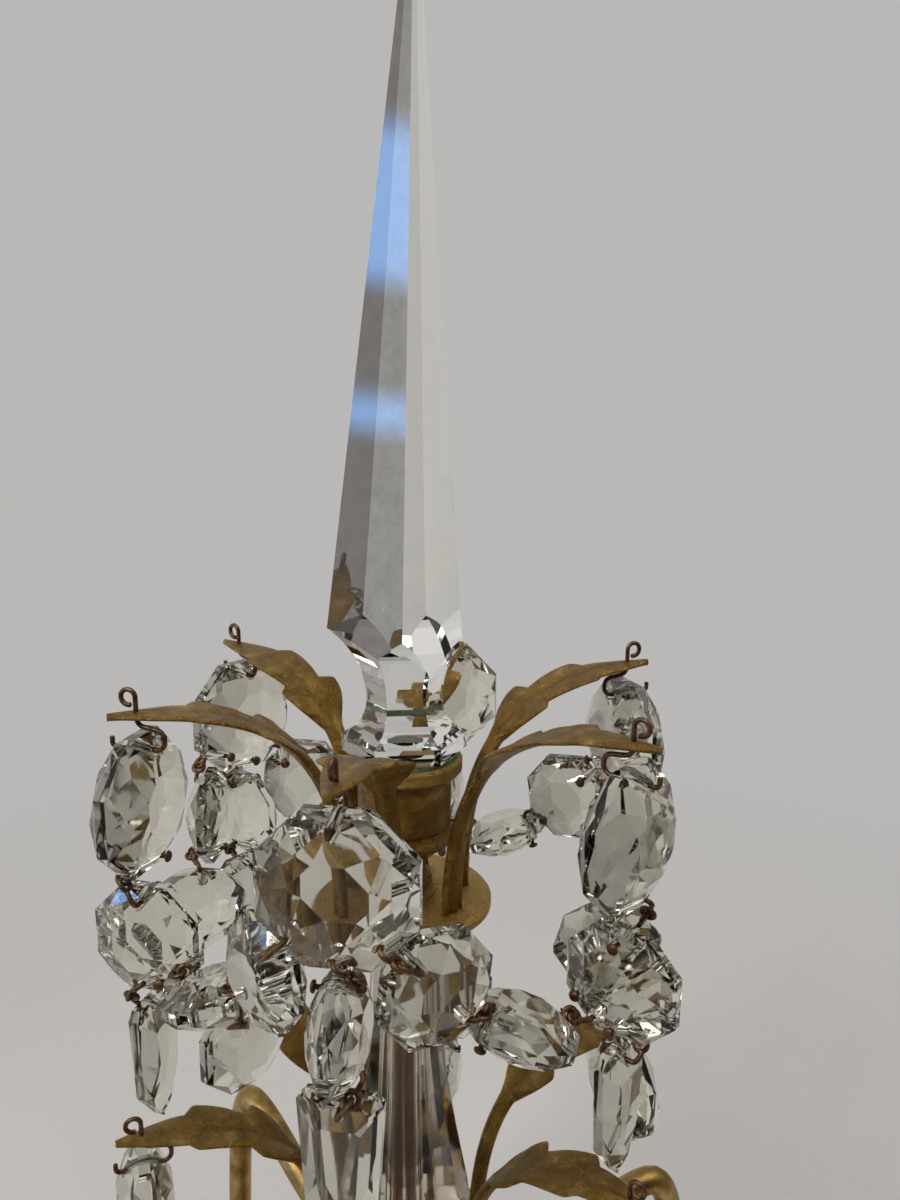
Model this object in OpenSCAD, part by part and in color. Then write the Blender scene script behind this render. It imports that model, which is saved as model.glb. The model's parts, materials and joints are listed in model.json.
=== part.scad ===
// Girandole candle holder: a turned brass foot, a glass baluster and column,
// three scrolled candle arms, two crowns of six cast leaves, and cut crystals
// hung on bent wire under a four-sided glass spire.
// Millimetres, +Z up, the axis of the stem on Z, the felt resting on z = 0.

/* [Foot] */
// Radius of the cast foot
foot_r = 78; // [70:1:100]
// Height of the foot to its top seat
foot_h = 52; // [48:1:70]
// Thickness of the felt under the foot
felt_t = 1.5; // [1:0.1:3]
// Radius of the iron weight inside the foot
weight_r = 43; // [30:1:46]
// Thickness of the iron weight
weight_t = 8; // [5:0.5:9]

/* [Stem] */
// Radius of the threaded tie rod that clamps the stem
rod_r = 3; // [2.5:0.1:3.6]
// Height of the glass baluster above the foot
baluster_h = 89; // [80:1:110]
// Widest radius of the glass baluster
baluster_r = 27; // [22:1:34]
// Height of the hub that takes the arms
arm_hub_h = 32; // [28:1:40]
// Radius of the upper leaf plate
plate_r = 25; // [23:0.5:30]
// Radius of the lower leaf plate
lower_plate_r = 31; // [29:0.5:36]
// Thickness of each leaf plate
plate_t = 4; // [3:0.1:6]
// Height of the glass column between the leaf plates
column_h = 117; // [112:1:122]
// Radius at the foot of the glass column
column_foot_r = 20; // [14:0.5:20.5]
// Radius at the head of the glass column
column_head_r = 9.5; // [8:0.25:12]

/* [Spire] */
// Height of the turned cup under the spire
cup_h = 42; // [38:1:48]
// Radius of the cup's rim
cup_rim_r = 16.3; // [15:0.1:18]
// Thickness of the bedding between cup and spire
bed_t = 1.4; // [1:0.1:2.4]
// Corner radius of the six-sided spire foot
spire_foot_r = 17.5; // [16.5:0.1:19]
// Height of the upright band round the spire foot
spire_band = 3.6; // [2.5:0.1:5]
// Corner radius of the neck above the foot
spire_neck_r = 10.5; // [9:0.1:12]
// Corner radius of the four-sided body at its widest
spire_body_r = 18.9; // [17:0.1:21]
// Height from the foot band to the widest part of the body
spire_shoulder = 27; // [25:0.5:30]
// Height from the widest part to the point
spire_body_h = 192; // [120:1:240]
// Lean of the hand-cut body, in degrees
spire_lean = 1.6; // [0:0.1:2]

/* [Leaves] */
// Azimuth of the front leaf, in degrees from the front
leaf_turn = -8.8; // [-20:0.1:20]
// Reach of the upper leaves from the axis
upper_reach = 78; // [74:0.5:84]
// Reach of the lower leaves from the axis
lower_reach = 83; // [78:0.5:90]
// Height of a leaf's tip above its plate
leaf_rise = 61.3; // [57:0.1:67]
// Width of a leaf across its widest lobes
leaf_w = 21; // [16:0.5:24]
// Thickness of a leaf along its rib
leaf_t = 3.4; // [3:0.1:4.5]

/* [Candle arms] */
// Radius of the arm where it leaves the hub
arm_r = 4.5; // [4:0.1:5.2]
// Turn of the arms against the leaves, in degrees
arm_turn = -6; // [-10:0.5:0]
// Distance of the arch from the axis
arch_reach = 84; // [78:1:90]
// Height of the arch above the hub socket
arm_arch = 24; // [18:1:26]
// Distance of the candles from the axis
candle_reach = 135; // [130:1:160]
// Drop of the arm's end below the hub socket
arm_drop = 105; // [95:1:108]

/* [Candle cups] */
// Bore for the candle
candle_d = 22; // [18:0.5:24]
// Depth of the bore
candle_depth = 22; // [16:0.5:26]
// Wall of the cup at its rim
cup_wall = 2; // [1.6:0.1:3]
// Radius of the drip pan
pan_r = 26.5; // [24:0.5:27.5]

/* [Crystals] */
// Width of the octagons on the leaf hooks
big_w = 36; // [32:0.5:37]
// Thickness of those octagons
big_t = 15; // [12:0.5:16]
// Width of the octagons under the tied ones
small_w = 27; // [24:0.5:28]
// Width of the second octagons that carry the festoon ends
second_w = 30; // [27:0.5:31]
// Width of the festoon octagons
swag_w = 27.5; // [25:0.5:28.5]
// Thickness of all the smaller octagons
small_t = 12; // [10:0.5:12.5]
// Width of the prisms
prism_w = 20; // [16:0.5:22]
// Thickness of the prisms
prism_t = 8; // [6:0.5:9]
// Length of the prisms under the smaller octagons
long_prism = 40; // [34:0.5:41]
// Length of the prisms under the second octagons
short_prism = 37; // [30:0.5:38]

/* [Wire and holes] */
// Radius of the wire
wire_r = 0.65; // [0.5:0.05:0.8]
// Radius of the holes drilled through the crystals
hole_r = 1.5; // [1.4:0.05:1.6]
// Distance from a hole to the edge of its crystal
hole_in = 3.7; // [3.3:0.1:4.2]
// Gap between two crystals on one wire
bead_gap = 1.9; // [1.8:0.1:2.2]

/* [Hidden] */
$fn = 64;
leaf_count = 6;
arm_count = 3;
rod_clear = 0.2;
glass_clear = 1;
screw_r = 1.2;
screw_clear = 0.05;
spigot_r = 2.5;
spigot_clear = 0.05;
upper_foot_r = 17.5;
lower_foot_r = 24;
hook_at = 0.93;
hook_drop = 8.8;
wire_out = 1.8;
bend_r = 1;
hang_turn = [0, 0, 0, 0, 0, -35];
first_way = -52;
middle_way = -42;
last_way = -20;
second_gap = 3;
first_gap = 0.8;
middle_gap = 1.2;
tie_dirs = [28, 62];
tenon_from = 8;
tenon_r = 3.6;
hub_r = 19;
hub_bulge = 15;
arm_from = hub_r + spigot_clear;
arm_dip = 15;
arm_sides = 10;
recess_top = 18;
peg_r = 5;
peg_clear = 0.4;
peg_l = 11;
flute_r = 25;
foot_flute_r = 10;
flute_waist = 11;
round_fn = 24;
wire_sides = 5;

baluster_z = foot_h;
arm_hub_z = baluster_z + baluster_h;
lower_plate_z = arm_hub_z + arm_hub_h;
column_z = lower_plate_z + plate_t;
upper_plate_z = column_z + column_h;
cup_z = upper_plate_z + plate_t;
bed_z = cup_z + cup_h;
spire_z = bed_z + bed_t + spire_band;
arm_z = arm_hub_z + arm_hub_h / 2;
arm_end_z = arm_z - arm_drop;
collar_t = 3;
collar_r = 7.5;
pan_t = 1.4;
pan_h = 5;
pan_boss_r = 9;
pan_z = arm_end_z + collar_t;
candle_cup_z = pan_z + pan_t;
cup_base_h = 11;
candle_cup_h = candle_depth + cup_base_h;
cup_foot_r = 8;
cup_waist_r = 5.5;
spigot_l = 7;
weight_z = recess_top - weight_t;

// Places and directions round the stem: azimuth 0 is the front, -Y
function radial(az) = [sin(az), -cos(az), 0];
function tangent(az) = [cos(az), sin(az), 0];
function at(az, r, t, z) = r * radial(az) + t * tangent(az) + [0, 0, z];
function leaf_az(k) = leaf_turn + 60 * k;
function arm_az(k) = leaf_az(2 * k) + arm_turn;
// Azimuth that a hung octagon faces: each chain may turn on its hook
function chain_az(k) = leaf_az(k) + hang_turn[(k + leaf_count) % leaf_count];
function unit(v) = v / norm(v);
function mix(a, b, f) = a + (b - a) * f;
function arc(cx, cy, r, from, to, steps) =
    [for (i = [0 : steps]) let (a = from + (to - from) * i / steps) [cx + r * cos(a), cy + r * sin(a)]];

module place(p, x, y, z) {
    multmatrix([
        [x[0], y[0], z[0], p[0]],
        [x[1], y[1], z[1], p[1]],
        [x[2], y[2], z[2], p[2]],
        [0, 0, 0, 1]
    ])
        children();
}

module around(az) {
    rotate([0, 0, az - 90])
        children();
}

module turned(profile) {
    rotate_extrude()
        polygon(profile);
}

// A closed skin over rings of equal point count, ends capped
module skin(rings) {
    n = len(rings[0]);
    m = len(rings);
    polyhedron(
        points = [for (ring = rings) each ring],
        faces = concat(
            [[for (j = [0 : n - 1]) n - 1 - j]],
            [[for (j = [0 : n - 1]) (m - 1) * n + j]],
            [
                for (i = [0 : m - 2], j = [0 : n - 1], half = [0, 1])
                    let (a = i * n + j, b = i * n + (j + 1) % n)
                        half == 0 ? [a, b, b + n] : [a, b + n, a + n]
            ]
        )
    );
}

// Directions square to a path, each carried on from the one before it
function carried(ways, i, last) =
    i == len(ways) ? []
        : let (now = unit(last - ways[i] * (ways[i] * last))) concat([now], carried(ways, i + 1, now));

// Wire bent through a list of points, each corner rounded to its own radius
module bent_wire(points, bends) {
    last = len(points) - 1;
    way = [for (i = [0 : last - 1]) unit(points[i + 1] - points[i])];
    turned_path = [
        for (i = [1 : last - 1], s = [0 : 0.5 : 1])
            let (
                turn = acos(way[i - 1] * way[i]),
                inward = unit(way[i] - way[i - 1] * (way[i] * way[i - 1])),
                start = points[i] - way[i - 1] * bends[i - 1] * tan(turn / 2),
                a = turn * s
            )
            [
                start + bends[i - 1] * (way[i - 1] * sin(a) + inward * (1 - cos(a))),
                way[i - 1] * cos(a) + inward * sin(a)
            ]
    ];
    path = concat([[points[0], way[0]]], turned_path, [[points[last], way[last - 1]]]);
    ways = [for (p = path) p[1]];
    across = carried(ways, 0, abs(way[0][2]) < 0.9 ? [0, 0, 1] : [1, 0, 0]);
    skin([
        for (i = [0 : len(path) - 1])
            [
                for (j = [0 : wire_sides - 1])
                    let (a = 360 / wire_sides * j)
                        path[i][0] + wire_r * (across[i] * cos(a) - cross(ways[i], across[i]) * sin(a))
            ]
    ]);
}

// Wire through two drilled holes: a pin in each, and a leg between them.
// A hole is [centre, axis on the leg's side, half length of its pin].
module link(a, b) {
    bent_wire(
        [
            a[0] - a[1] * a[2],
            a[0] + a[1] * a[2],
            b[0] + b[1] * b[2],
            b[0] - b[1] * b[2]
        ],
        [bend_r, bend_r]
    );
}

function octagon_ring(r, z, turn) =
    [for (i = [0 : 7]) [r * cos(turn + 45 * i), r * sin(turn + 45 * i), z]];

// Cut octagon lying in XY: table, star facets, girdle. Holes by direction, 90 is +Y.
module octagon(w, t, hole_dirs) {
    corner = w / 2 / cos(22.5);
    rings = [
        octagon_ring(corner * 0.48, -t / 2, 22.5),
        octagon_ring(corner * 0.8, -t * 0.31, 45),
        octagon_ring(corner, -t * 0.1, 22.5),
        octagon_ring(corner, t * 0.1, 22.5),
        octagon_ring(corner * 0.8, t * 0.31, 45),
        octagon_ring(corner * 0.48, t / 2, 22.5)
    ];
    difference() {
        polyhedron(
            points = [for (ring = rings) each ring],
            faces = concat(
                [[0, 1, 2, 3, 4, 5, 6, 7]],
                [[47, 46, 45, 44, 43, 42, 41, 40]],
                [for (i = [0 : 7]) [16 + i, 24 + i, 24 + (i + 1) % 8, 16 + (i + 1) % 8]],
                [
                    for (low = [0, 24], i = [0 : 7], half = [0, 1])
                        let (j = (i + 1) % 8)
                            half == 0 ? [low + i, low + 8 + i, low + j]
                                : [low + 8 + i, low + 8 + j, low + j]
                ],
                [
                    for (low = [8, 32], i = [0 : 7], half = [0, 1])
                        let (j = (i + 1) % 8)
                            half == 0 ? [low + 8 + i, low + 8 + j, low + i]
                                : [low + i, low + 8 + j, low + j]
                ]
            )
        );
        for (dir = hole_dirs)
            translate([cos(dir), sin(dir), 0] * (w / 2 - hole_in))
                cylinder(h = t + 2, r = hole_r, center = true, $fn = round_fn);
    }
}

// Half length of a pin through an octagon of thickness t
function pin(t) = t * 0.36 + wire_out;
prism_pin = prism_t * 0.36 + wire_out;

function prism_ring(l, w, y) = [
    [w * 0.4, y, 0],
    [w / 2, y, -w * 0.1],
    [w * 0.42, y, -l + w * 0.55],
    [0, y, -l],
    [-w * 0.42, y, -l + w * 0.55],
    [-w / 2, y, -w * 0.1],
    [-w * 0.4, y, 0]
];
function prism_table(l, w, y) = [
    [w * 0.2, y, -hole_in * 1.9],
    [w * 0.26, y, -hole_in * 2.1],
    [w * 0.2, y, -l + w * 0.75],
    [0, y, -l + w * 0.35],
    [-w * 0.2, y, -l + w * 0.75],
    [-w * 0.26, y, -hole_in * 2.1],
    [-w * 0.2, y, -hole_in * 1.9]
];

// Bevelled pendant, its hole's centre at the origin, its faces across Y
module prism(l) {
    difference() {
        translate([0, 0, hole_in])
            skin([
                prism_table(l, prism_w, -prism_t / 2),
                prism_ring(l, prism_w, -prism_t * 0.16),
                prism_ring(l, prism_w, prism_t * 0.16),
                prism_table(l, prism_w, prism_t / 2)
            ]);
        rotate([90, 0, 0])
            cylinder(h = prism_t + 2, r = hole_r, center = true, $fn = round_fn);
    }
}

// The line of a leaf, from its foot on the plate to its tip, as [radius, height]
function leaf_line(foot, reach) = [
    [foot, 0],
    [foot, leaf_rise * 0.86],
    [foot + (reach - foot) * 0.44, leaf_rise],
    [reach, leaf_rise]
];
function curve(c, t) =
    pow(1 - t, 3) * c[0] + 3 * pow(1 - t, 2) * t * c[1] + 3 * (1 - t) * t * t * c[2] + pow(t, 3) * c[3];
function curve_way(c, t) =
    unit(pow(1 - t, 2) * (c[1] - c[0]) + 2 * (1 - t) * t * (c[2] - c[1]) + t * t * (c[3] - c[2]));
function hook_point(foot, reach) = curve(leaf_line(foot, reach), hook_at);

// A leaf's stalk, two lobes that end in ears, and its tip: where each ends,
// and the half width at its start and at its ear, as shares of half the leaf's width
lobe_end = [0, 0.36, 0.57, 0.79, 1];
lobe_from = [0.36, 0.32, 0.62, 0.56, 0.08];
lobe_ear = [0.3, 1, 0.84];
ear_at = 0.86;
ear_steps = [0, 0.3, 0.6, ear_at, 0.95];
lobe_steps = [[0, 0.5], ear_steps, ear_steps, [0, 0.4, 0.75]];
function lobe_half(i, s) =
    i == 3 ? mix(lobe_from[3], lobe_from[4], pow(s, 1.6))
        : s <= ear_at ? mix(lobe_from[i], lobe_ear[i], sin(90 * s / ear_at))
        : mix(lobe_ear[i], lobe_from[i + 1], pow((s - ear_at) / (1 - ear_at), 2));
function leaf_ring(line, t, half) =
    let (
        p = curve(line, t),
        way = curve_way(line, t),
        up = [-way[1], way[0]],
        lift = 0.2 * max(0, half - leaf_w * 0.22),
        rib = leaf_t * mix(1.15, 0.6, t) / 2,
        groove = leaf_t * 0.16 * sin(180 * t),
        edge = rib * 0.5,
        section = [
            [-half, lift + edge],
            [-half * 0.3, rib],
            [0, rib - groove],
            [half * 0.3, rib],
            [half, lift + edge],
            [half, lift - edge],
            [0, -rib],
            [-half, lift - edge]
        ]
    )
    [for (q = section) [p[0] + up[0] * q[1], q[0], p[1] + up[1] * q[1]]];

module leaf(foot, reach, plate_top) {
    line = leaf_line(foot, reach);
    hook = hook_point(foot, reach);
    rings = [
        for (i = [0 : 3], s = lobe_steps[i])
            leaf_ring(line, mix(lobe_end[i], lobe_end[i + 1], s), lobe_half(i, s) * leaf_w / 2)
    ];
    tip = [leaf_ring(line, 1, lobe_from[4] * leaf_w / 2)];
    translate([0, 0, plate_top])
        difference() {
            skin(concat(rings, tip));
            translate([hook[0], 0, hook[1]])
                cylinder(h = leaf_t * 4, r = hole_r, center = true, $fn = round_fn);
            translate([foot, 0, -1])
                cylinder(h = 7, r = screw_r + screw_clear, $fn = round_fn);
        }
}

module leaves(foot, reach, plate_top) {
    for (k = [0 : leaf_count - 1])
        around(leaf_az(k))
            leaf(foot, reach, plate_top);
}

module leaf_plate(r, foot, z) {
    translate([0, 0, z])
        difference() {
            turned([
                [rod_r + rod_clear, 0],
                [r - 1.5, 0],
                [r, 1],
                [r, plate_t - 1],
                [r - 0.8, plate_t],
                [rod_r + rod_clear, plate_t]
            ]);
            for (k = [0 : leaf_count - 1])
                around(leaf_az(k))
                    translate([foot, 0, -1])
                        cylinder(h = plate_t + 2, r = screw_r + screw_clear, $fn = round_fn);
        }
}

// Where the crystals hang, by tier: hook radius and the height of the hook hole
upper_r = hook_point(upper_foot_r, upper_reach)[0];
upper_hook = cup_z + hook_point(upper_foot_r, upper_reach)[1];
lower_r = hook_point(lower_foot_r, lower_reach)[0];
lower_hook = column_z + hook_point(lower_foot_r, lower_reach)[1];
big_hole = big_w / 2 - hole_in;
small_hole = small_w / 2 - hole_in;
second_hole = second_w / 2 - hole_in;
swag_hole = swag_w / 2 - hole_in;
link_l = 2 * hole_in + bead_gap;
second_link_l = link_l + second_gap;

upper_big_z = upper_hook - hook_drop - big_hole;
small_top = upper_big_z - big_hole - link_l;
small_z = small_top - small_hole;
long_prism_z = small_z - small_hole - link_l;
second_top = upper_big_z - big_hole - second_link_l;
second_z = second_top - second_hole;
short_prism_z = second_z - second_hole - link_l;
lower_big_z = lower_hook - hook_drop - big_hole;
drop_top = lower_big_z - big_hole - link_l;
drop_z = drop_top - small_hole;

// Octagon under leaf k that faces outwards at azimuth az
module facing_out(k, az, r, z) {
    place(at(leaf_az(k), r, 0, z), tangent(az), [0, 0, 1], radial(az))
        children();
}

// Octagon under leaf k turned edge-on to the one above it
module facing_round(k, az, r, z) {
    place(at(leaf_az(k), r, 0, z), -radial(az), [0, 0, 1], tangent(az))
        children();
}

module hung_prism(k, z, l) {
    az = chain_az(k);
    place(at(leaf_az(k), upper_r, 0, z), tangent(az), -radial(az), [0, 0, 1])
        prism(l);
}

// Hook from a leaf to the top hole of its octagon: curl, drop, pin, turned-up end
module leaf_hook(k, az, r, hook) {
    front = pin(big_t);
    back = -front - 0.4;
    top = -hook_drop;
    path = [
        [1.4, 2.6],
        [4, 2.6],
        [4, 6.6],
        [0, 6.6],
        [0, -2.6],
        [back, -3.8],
        [back, top],
        [front, top],
        [front, top + 2.6]
    ];
    centre = at(leaf_az(k), r, 0, hook);
    bent_wire([for (p = path) centre + at(az, p[0], 0, p[1])], [2, 2, 2, 1.2, 1.2, 1.6, bend_r]);
}

// Festoons: each runs from a tied octagon's lower side hole to a second octagon.
// side is +1 for the festoon on the side of growing azimuth, -1 for the other.
function slope(along, angle) = along * cos(angle) + [0, 0, sin(angle)];
function swag_first(k, side) =
    at(leaf_az(k), upper_r, side * big_hole * sin(45), upper_big_z - big_hole * cos(45));
function swag_tie(k, side) =
    let (dir = tie_dirs[side > 0 ? 0 : 1])
        at(leaf_az(k + side), upper_r, 0, second_z)
            - at(chain_az(k + side), second_hole * sin(dir), 0, second_hole * cos(dir));
function swag_along(k, side) =
    let (d = swag_tie(k, side) - swag_first(k, side)) unit([d[0], d[1], 0]);
function swag_out(k, side) =
    let (d = swag_along(k, side)) side * [d[1], -d[0], 0];
function swag_a_top(k, side) =
    swag_first(k, side) + slope(swag_along(k, side), first_way) * (link_l + first_gap);
function swag_a(k, side) =
    swag_a_top(k, side) + slope(swag_along(k, side), first_way) * swag_hole;
function swag_a_end(k, side) =
    swag_a_top(k, side) + slope(swag_along(k, side), first_way) * 2 * swag_hole;
function swag_b_start(k, side) =
    swag_a_end(k, side) + slope(swag_along(k, side), middle_way) * (link_l + middle_gap);
function swag_b(k, side) =
    swag_b_start(k, side) + slope(swag_along(k, side), last_way) * swag_hole;
function swag_b_end(k, side) =
    swag_b_start(k, side) + slope(swag_along(k, side), last_way) * 2 * swag_hole;
function swag_b_up(k, side) = slope(swag_along(k, side), last_way + 90);

module swag_beads(k, side) {
    a_way = slope(swag_along(k, side), first_way);
    b_way = slope(swag_along(k, side), last_way);
    out = swag_out(k, side);
    up = swag_b_up(k, side);
    color("aliceblue") {
        place(swag_a(k, side), cross(a_way, out), a_way, out)
            octagon(swag_w, small_t, [90, 270]);
        place(swag_b(k, side), cross(b_way, up), b_way, up)
            octagon(swag_w, small_t, [90, 270]);
    }
}

module swag_wires(k, side) {
    out = swag_out(k, side);
    up = swag_b_up(k, side);
    color("saddlebrown") {
        link(
            [swag_first(k, side), radial(leaf_az(k)), pin(big_t)],
            [swag_a_top(k, side), out, pin(small_t)]
        );
        link(
            [swag_a_end(k, side), out, pin(small_t)],
            [swag_b_start(k, side), up, pin(small_t)]
        );
        link(
            [swag_b_end(k, side), up, pin(small_t)],
            [swag_tie(k, side), -side * tangent(chain_az(k + side)), pin(small_t)]
        );
    }
}

// Sub-parts of the fixed frame
module felt_pad() {
    color("darkgreen")
        cylinder(h = felt_t, r = foot_r - 2);
}

module foot() {
    neck = 16;
    rim = foot_r - 6;
    recess = weight_r + 0.5;
    color("goldenrod")
        turned(concat(
            [[rim, felt_t], [foot_r - 1, felt_t], [foot_r, felt_t + 1]],
            [[foot_r, 6], [foot_r - 1.5, 7.5], [foot_r - 3, 8]],
            arc(foot_r - 5.5, 11, 3, -40, 120, 8),
            [[foot_r - 11, 14.4], [foot_r - 12, 16]],
            [
                for (a = [0 : 9 : 90])
                    [neck + 4 + (foot_r - 34) * (1 - sin(a)), 18 + (foot_h - 27) * (1 - cos(a))]
            ],
            arc(neck, foot_h - 6, 3.4, -60, 70, 8),
            [[neck - 1, foot_h - 2], [neck - 1, foot_h]],
            [[rod_r + rod_clear, foot_h], [rod_r + rod_clear, foot_h - 9]],
            [[12, foot_h - 14], [14, recess_top], [recess, recess_top], [recess, 6], [rim, 5]]
        ));
}

module weight() {
    color("dimgray")
        translate([0, 0, weight_z])
            difference() {
                cylinder(h = weight_t, r = weight_r);
                translate([0, 0, -1])
                    cylinder(h = weight_t + 2, r = rod_r + rod_clear);
            }
}

module rod_nut() {
    color("darkgoldenrod")
        translate([0, 0, weight_z - 5])
            difference() {
                cylinder(h = 5, r = rod_r * 1.9, $fn = 6);
                translate([0, 0, -1])
                    cylinder(h = 7, r = rod_r + screw_clear);
            }
}

module tie_rod() {
    bottom = weight_z - 6.5;
    color("darkgoldenrod")
        translate([0, 0, bottom])
            cylinder(h = cup_z + 18 - bottom, r = rod_r);
}

module baluster() {
    h = baluster_h;
    color("aliceblue")
        translate([0, 0, baluster_z])
            difference() {
                rotate_extrude($fn = 12)
                    polygon(concat(
                        [[0, 0], [15, 0], [15, 5], [11, 9]],
                        [
                            for (i = [1 : 7])
                                [mix(10.5, baluster_r, sin(i * 22.5)), mix(10, h * 0.74, i / 8)]
                        ],
                        [[9.5, h * 0.76], [10, h * 0.84], [13.5, h * 0.92], [13.5, h], [0, h]]
                    ));
                translate([0, 0, -1])
                    cylinder(h = h + 2, r = rod_r + glass_clear);
            }
}

module column() {
    h = column_h;
    color("aliceblue")
        translate([0, 0, column_z])
            difference() {
                rotate_extrude($fn = 12)
                    polygon([
                        [0, 0],
                        [14.5, 0],
                        [14.5, 3],
                        [column_foot_r * 0.72, 6],
                        [column_foot_r * 0.95, h * 0.1],
                        [column_foot_r, h * 0.155],
                        [column_foot_r * 0.95, h * 0.22],
                        [column_foot_r * 0.79, h * 0.36],
                        [column_foot_r * 0.63, h * 0.52],
                        [column_foot_r * 0.54, h * 0.7],
                        [column_head_r, h * 0.92],
                        [column_head_r + 1, h * 0.95],
                        [column_head_r + 1, h],
                        [0, h]
                    ]);
                translate([0, 0, -1])
                    cylinder(h = h + 2, r = rod_r + glass_clear);
            }
}

module arm_hub() {
    h = arm_hub_h;
    color("goldenrod")
        translate([0, 0, arm_hub_z])
            difference() {
                turned(concat(
                    [[rod_r + rod_clear, 0], [14.5, 0], [14.5, 2], [11, 4.5]],
                    arc(hub_r - hub_bulge, h / 2, hub_bulge, -42, 42, 12),
                    [[11, h - 4.5], [14, h - 2], [14, h], [rod_r + rod_clear, h]]
                ));
                for (k = [0 : arm_count - 1])
                    around(arm_az(k))
                        translate([tenon_from, 0, h / 2])
                            rotate([0, 90, 0])
                                cylinder(h = 20, r = tenon_r + spigot_clear, $fn = round_fn);
            }
}

module lower_plate() {
    color("goldenrod")
        leaf_plate(lower_plate_r, lower_foot_r, lower_plate_z);
}

module upper_plate() {
    color("goldenrod")
        leaf_plate(plate_r, upper_foot_r, upper_plate_z);
}

module lower_leaves() {
    color("goldenrod")
        leaves(lower_foot_r, lower_reach, column_z);
}

module upper_leaves() {
    color("goldenrod")
        leaves(upper_foot_r, upper_reach, cup_z);
}

module leaf_screws() {
    seats = [[lower_foot_r, lower_plate_z], [upper_foot_r, upper_plate_z]];
    color("darkgoldenrod")
        for (seat = seats, k = [0 : leaf_count - 1])
            around(leaf_az(k))
                translate([seat[0], 0, seat[1]]) {
                    cylinder(h = plate_t + 5, r = screw_r, $fn = round_fn);
                    translate([0, 0, -1.4])
                        cylinder(h = 1.4, r = screw_r * 1.9, $fn = round_fn);
                }
}

// An arm: out of the hub, over its arch, down, and up to the candle
arm_low = -arm_drop - arm_dip;
arm_lines = [
    [
        [arm_from, 0],
        [arch_reach * 0.62, 0],
        [arch_reach * 0.82, arm_arch],
        [arch_reach, arm_arch]
    ],
    [
        [arch_reach, arm_arch],
        [arch_reach * 1.24, arm_arch],
        [candle_reach * 0.645, arm_low],
        [candle_reach * 0.867, arm_low]
    ],
    [
        [candle_reach * 0.867, arm_low],
        [candle_reach * 0.963, arm_low],
        [candle_reach, -arm_drop - arm_dip * 0.67],
        [candle_reach, -arm_drop]
    ]
];
function arm_ring(line, t, r) =
    let (
        p = curve(line, t),
        way = curve_way(line, t),
        up = [-way[1], way[0]]
    )
    [
        for (i = [0 : arm_sides - 1])
            let (a = 360 / arm_sides * i)
                [p[0] + up[0] * r * sin(a), -r * cos(a), p[1] + up[1] * r * sin(a)]
    ];

module candle_arm(k) {
    rings = [
        for (i = [0 : 2], s = [0 : 0.125 : 0.95])
            arm_ring(arm_lines[i], s, mix(arm_r, arm_r * 0.85, (i + s) / 3))
    ];
    end = [arm_ring(arm_lines[2], 1, arm_r * 0.85)];
    color("gold")
        around(arm_az(k))
            translate([0, 0, arm_z])
                difference() {
                    union() {
                        skin(concat(rings, end));
                        translate([tenon_from, 0, 0])
                            rotate([0, 90, 0])
                                cylinder(h = arm_from - tenon_from + 1, r = tenon_r, $fn = round_fn);
                        translate([candle_reach, 0, -arm_drop - 1])
                            cylinder(h = collar_t + 1, r = collar_r);
                    }
                    translate([candle_reach, 0, -arm_drop - 6])
                        cylinder(h = collar_t + 8, r = spigot_r + spigot_clear, $fn = round_fn);
                }
}

module at_candles(z) {
    for (k = [0 : arm_count - 1])
        around(arm_az(k))
            translate([candle_reach, 0, z])
                children();
}

module drip_pans() {
    hole = spigot_r + spigot_clear;
    color("goldenrod")
        at_candles(pan_z)
            turned([
                [hole, 0],
                [pan_boss_r, 0],
                [pan_r * 0.833, pan_h * 0.12],
                [pan_r * 0.947, pan_h * 0.48],
                [pan_r, pan_h * 0.88],
                [pan_r * 0.98, pan_h],
                [pan_r * 0.913, pan_h * 0.76],
                [pan_r * 0.813, pan_h * 0.4],
                [pan_boss_r, pan_t],
                [hole, pan_t]
            ]);
}

module candle_cups() {
    bore = candle_d / 2;
    rim = bore + cup_wall;
    lip = rim + cup_wall * 0.8;
    h = candle_cup_h;
    base = cup_base_h;
    waist = cup_waist_r;
    color("gold")
        at_candles(candle_cup_z)
            union() {
                turned(concat(
                    [[0, 0], [cup_foot_r, 0], [cup_foot_r, base * 0.15]],
                    [[waist, base * 0.27], [waist, base * 0.4]],
                    [
                        for (a = [15 : 15 : 90])
                            [mix(waist, rim + cup_wall * 0.4, sin(a)), mix(base * 0.42, base, 1 - cos(a))]
                    ],
                    [[rim, base + candle_depth * 0.36], [rim, h - cup_wall * 1.8]],
                    [[lip, h - cup_wall], [lip, h - cup_wall * 0.3], [rim + cup_wall * 0.5, h]],
                    [[bore, h], [bore, base], [0, base]]
                ));
                translate([0, 0, -pan_t - spigot_l])
                    cylinder(h = pan_t + spigot_l + 1, r = spigot_r, $fn = round_fn);
            }
}

module spire_cup() {
    color("goldenrod")
        translate([0, 0, cup_z])
            turned(concat(
                [[rod_r + screw_clear, 0], [9, 0], [9, 1.2], [6.4, 2]],
                arc(5.6, 4.6, 2.4, -60, 70, 6),
                [[6, 7.6], [6, 9], [7.2, 11.5], [11.5, 15.5]],
                arc(11.6, 18.6, 2.6, -60, 60, 6),
                [[12.6, 21.4], [13.2, 22.2], [13.2, cup_h - 7.5], [13.8, cup_h - 6]],
                [[cup_rim_r - 0.6, cup_h - 4.6], [cup_rim_r, cup_h - 3.8], [cup_rim_r, cup_h - 1]],
                [[cup_rim_r - 0.8, cup_h], [peg_r + peg_clear, cup_h]],
                [[peg_r + peg_clear, cup_h - peg_l - 1], [rod_r + screw_clear, cup_h - peg_l - 3]]
            ));
}

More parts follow.
